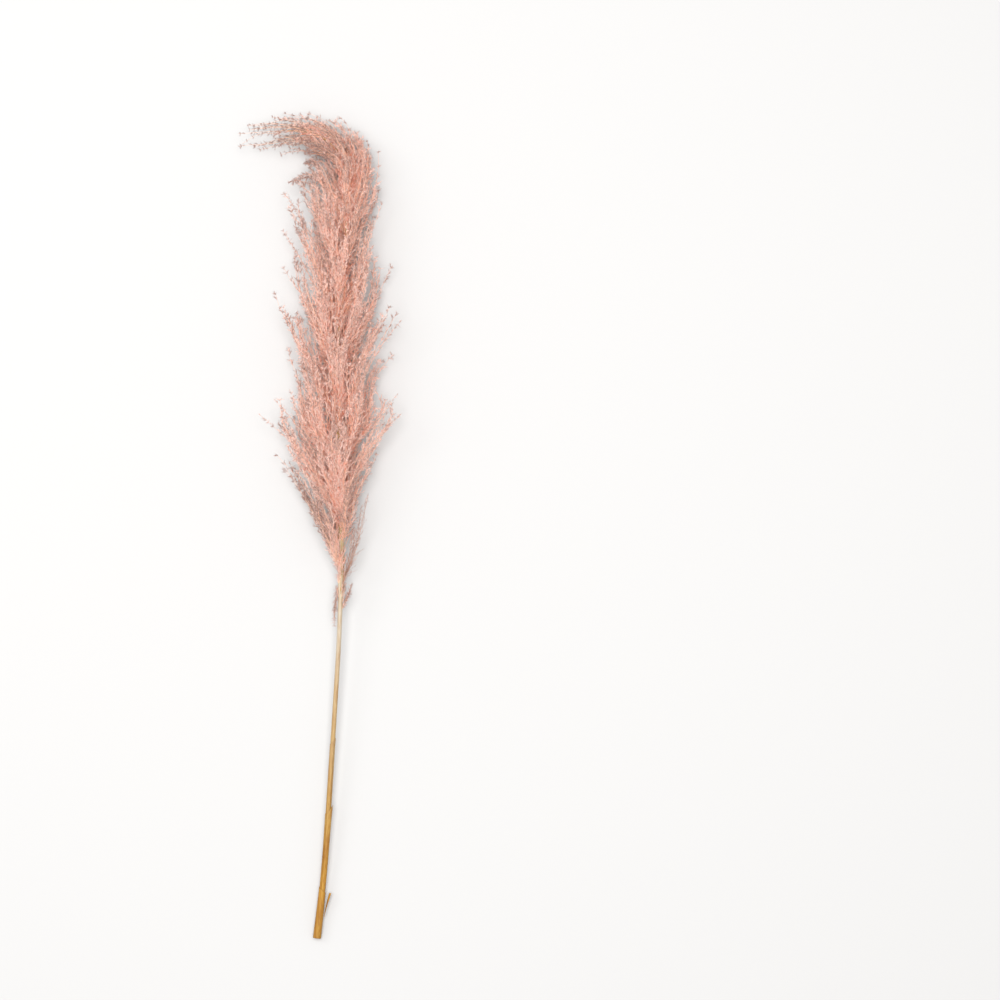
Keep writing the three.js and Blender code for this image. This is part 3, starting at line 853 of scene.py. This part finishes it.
def rod(name, along, radius, sides):
    """Rings of points round the route, and the faces between them, with a recessed end at the cut."""
    turn = 2 * np.pi * np.arange(sides) / sides
    flutes = 1 + 0.012 * np.cos(11 * turn) + 0.008 * np.cos(17 * turn + 1)
    points, rows = [], []
    end_profile = [(0.001, -1.1 * MM), (0.5, -0.9 * MM), (0.66, -0.3 * MM), (0.8, -0.02 * MM), (0.95, 0.0)]
    for share, depth in end_profile:
        rows.append((max(along[0] - depth, 0), radius[0] * share))
    rows += [(a, r) for a, r in zip(along + 0.12 * MM, radius)]
    rows.append((along[-1] + 0.6 * MM, radius[-1] * 0.3))
    for a, r in rows:
        s = np.full(sides, a)
        points.append(from_rachis(s, r * flutes * np.cos(turn), r * flutes * np.sin(turn)))
    count = len(points)
    faces = []
    for row in range(count - 1):
        for k in range(sides):
            a, b = row * sides + k, row * sides + (k + 1) % sides
            faces.append((a, a + sides, b + sides, b))
    faces.append(tuple(range(sides)))
    faces.append(tuple((count - 1) * sides + k for k in reversed(range(sides))))
    mesh = bpy.data.meshes.new(name)
    mesh.from_pydata(np.concatenate(points).tolist(), [], faces)
    mesh.shade_smooth()
    return mesh


culm_along = np.arange(0, culm_length, 3 * MM)
culm_radius = on_route(route_radius, culm_along)
culm = finished("stalk", rod("stalk", culm_along, culm_radius, SIDES), culm_straw, ["culm"])
print("the stalk has", len(culm.data.polygons), "faces")

# %% [markdown]
# ## Bases of the first branches
# Where the first branches leave the stalk, their bases lie along it for a way as bare golden strands.
# They could be carved into the stalk, but they part from it as they go, so each is a thread of its own
# in golden straw, wound a little round it.

# %% Lay the branch bases along the neck
BASES = 16
BASE_RADIUS = 0.34 * MM
BASE_FROM, BASE_LENGTH = -26 * MM, 70 * MM
rng = np.random.default_rng(4000)
t = np.linspace(0, 1, PATH_POINTS)
starts = first_branch + BASE_FROM + rng.uniform(0, 44 * MM, BASES)
along = starts[:, None] + rng.uniform(0.45, 1.0, BASES)[:, None] * BASE_LENGTH * t
turn = 2 * np.pi * np.arange(BASES)[:, None] / BASES + rng.uniform(-0.5, 0.5, (BASES, 1)) * (1 + t)
radius = on_route(route_radius, along) + 0.1 * MM + rng.uniform(0.8, 2.6, (BASES, 1)) * MM * t**2
laid = from_rachis(along, radius * np.cos(turn), radius * np.sin(turn))
base_strands = [threads(laid, np.full(BASES, BASE_RADIUS), np.full(BASES, 0.5), rng)]
piece_from("branch_bases", base_strands, golden_straw, [])
print(BASES, "branch bases along the neck")

# %% [markdown]
# ## Short ends at the collar
# Round the collar some branches have broken off and left short hairy ends. Bare stubs would look like
# thorns, so each end is grown as the branches are, only shorter, a little greyer and with smaller
# spikelets.

# %% Short hairy ends round the collar
COLLAR_ENDS = 16
COLLAR_FROM, COLLAR_TO = first_branch - 30 * MM, first_branch
ENDS_BRANCHLETS, ENDS_LENGTH, ENDS_SPIKELETS = 7, 6 * MM, 4
rng = np.random.default_rng(4100)
leaves_at = rng.uniform(COLLAR_FROM, COLLAR_TO, (COLLAR_ENDS, 1))
along = leaves_at + rng.uniform(9, 17, (COLLAR_ENDS, 1)) * MM * t
turn = rng.uniform(0, 2 * np.pi, (COLLAR_ENDS, 1))
radius = on_route(route_radius, along) + rng.uniform(0.6, 3.6, (COLLAR_ENDS, 1)) * MM * t
laid = from_rachis(along, radius * np.cos(turn), radius * np.sin(turn))
strands = clothe(laid, rng, ENDS_BRANCHLETS, ENDS_LENGTH, ENDS_SPIKELETS, grain=0.55, worn=0.5 * WORN)
piece_from("collar_ends", strands, plume_pink, [])
print(COLLAR_ENDS, "short hairy ends round the collar")

# %% [markdown]
# ## The leaf sheaths
# Each sheath is a thin wall rolled round the culm. The model's own solid has the right shape but few
# faces, so it is rounded by subdivision, with creases that keep its rims sharp, and then fluted along
# its veins. Its mouth was torn when the leaf was pulled off, so the rim is frayed unevenly.

# %% Round, flute and fray a sheath
def rounded(node, levels):
    """A copy of a node's mesh with quads instead of triangles, subdivided, with creased rims."""
    shape = bmesh.new()
    shape.from_mesh(frame["nodes"][node].data)
    bmesh.ops.remove_doubles(shape, verts=shape.verts, dist=1e-6)
    flat_enough, square_enough, sharp = math.radians(40), math.radians(60), math.radians(50)
    bmesh.ops.join_triangles(
        shape, faces=shape.faces, angle_face_threshold=flat_enough, angle_shape_threshold=square_enough
    )
    crease = shape.edges.layers.float.new("crease_edge")
    for edge in shape.edges:
        if edge.calc_face_angle(0) > sharp:
            edge[crease] = 0.9
    mesh = bpy.data.meshes.new(node + "_rounding")
    shape.to_mesh(mesh)
    shape.free()
    helper = bpy.data.objects.new(node + "_rounding", mesh)
    bpy.context.scene.collection.objects.link(helper)
    smoother = helper.modifiers.new("round", "SUBSURF")
    smoother.levels = smoother.render_levels = levels
    depsgraph = bpy.context.evaluated_depsgraph_get()
    smooth = bpy.data.meshes.new_from_object(helper.evaluated_get(depsgraph))
    bpy.data.objects.remove(helper)
    return smooth


FRAYED_OVER = 14 * MM
FLUTE, FLARE = 0.02 * MM, 0.12 * MM


def build_sheath(node, name, fray, seed):
    mesh = rounded(node, 2)
    places = np.empty(len(mesh.vertices) * 3)
    mesh.vertices.foreach_get("co", places)
    along, right, above = told_by_rachis(places.reshape(-1, 3)).T
    turn, radius = np.arctan2(above, right), np.hypot(right, above)
    phase = np.random.default_rng(seed).uniform(0, 6, 4)
    radius = radius + FLUTE * (np.cos(23 * turn + phase[0]) + 0.6 * np.cos(37 * turn + phase[1]))
    mouth = along.max()
    near_mouth = np.clip((along - mouth + FRAYED_OVER) / FRAYED_OVER, 0, 1) ** 2
    torn = np.sin(9 * turn + phase[2]) + 0.7 * np.sin(17 * turn + phase[3])
    along = along + fray * near_mouth * torn
    radius = radius + FLARE * near_mouth * (1 + np.sin(5 * turn + phase[1]))
    moved = from_rachis(along, radius * np.cos(turn), radius * np.sin(turn))
    mesh.vertices.foreach_set("co", moved.ravel())
    mesh.materials.clear()
    mesh.shade_smooth()
    return finished(name, mesh, sheath_straw, [node])


for seed, (node, fray) in enumerate(
    [("lower_sheath", 0.8 * MM), ("middle_sheath", 0.5 * MM), ("upper_sheath", 0.5 * MM)]
):
    sheath = build_sheath(node, node + "_leaf", fray, seed)
    print(sheath.name, "has", len(sheath.data.polygons), "faces")
sliver = rounded("sheath_sliver", 3)
sliver.materials.clear()
sliver.shade_smooth()
finished("torn_sliver", sliver, sheath_straw, ["sheath_sliver"])

# %% [markdown]
# ## Surface, light and camera
# A pale surface carries the stem. Soft light comes from a large lamp overhead, a weak one at the side
# and a bright surround, so the shade under the plume stays gentle and the hairs keep their colour. The
# lamp overhead hangs above the camera, which looks straight down from far off through a long lens. That
# keeps both ends of the stem in proportion.

# %% The surface
def plain_material(name, colour, roughness):
    material, _, _, shader = new_material(name, roughness)
    shader.inputs["Base Color"].default_value = linear(colour)
    return material


FLOOR_SIZE = 30
FLOOR_GAP = 0.3 * MM  # keeps the surface out of the lowest strands
PALE = "#c3c2c1"
bpy.ops.mesh.primitive_plane_add(size=FLOOR_SIZE, location=(0, 0, -FLOOR_GAP))
floor = bpy.context.object
floor.name = "surface"
floor.data.materials.append(plain_material("pale_surface", PALE, 0.9))
floor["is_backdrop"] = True

# %% The light
def soft_lamp(name, place, size, power):
    data = bpy.data.lights.new(name, "AREA")
    data.shape, data.size, data.energy = "DISK", size, power
    lamp = bpy.data.objects.new(name, data)
    lamp.location = place
    lamp.rotation_euler = (-Vector(place)).to_track_quat("-Z", "Y").to_euler()
    bpy.context.scene.collection.objects.link(lamp)


soft_lamp("overhead", (0.0, 0.35, 4.2), 3.2, 218)
soft_lamp("side", (-2.6, 1.2, 2.6), 2.0, 28)
world = bpy.context.scene.world or bpy.data.worlds.new("surround")
bpy.context.scene.world = world
world.use_nodes = True
surround = world.node_tree.nodes["Background"]
surround.inputs["Color"].default_value = (1, 1, 1, 1)
surround.inputs["Strength"].default_value = 0.62
bpy.context.scene.view_settings.view_transform = "Standard"

# %% The camera
LENS = 100
VIEW_HEIGHT = 1.214 * stem_length  # the stem takes up most of the picture's height
BESIDE = 0.2195 * stem_length  # the stem lies to the left of the middle
BEYOND = 0.0315 * stem_length
camera_data = bpy.data.cameras.new("camera")
camera_data.lens = LENS
camera = bpy.data.objects.new("camera", camera_data)
bpy.context.scene.collection.objects.link(camera)
camera.location = (BESIDE, BEYOND, VIEW_HEIGHT * LENS / camera_data.sensor_width)
bpy.context.scene.camera = camera
print("the camera stands", round(camera.location.z, 2), "m above the surface")

# %% [markdown]
# ## Sizes, and the end
# The finished stem may stand a little proud of the model, as soft things do. Both boxes
# are written down so that they can be compared.

# %% Write the sizes and finish
visual_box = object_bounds()
boxes = {"cad": [list(c) for c in cad_box], "visual": [list(c) for c in visual_box]}
for name, box in boxes.items():
    print(name, "box in mm:", [[round(c / MM, 1) for c in corner] for corner in box])
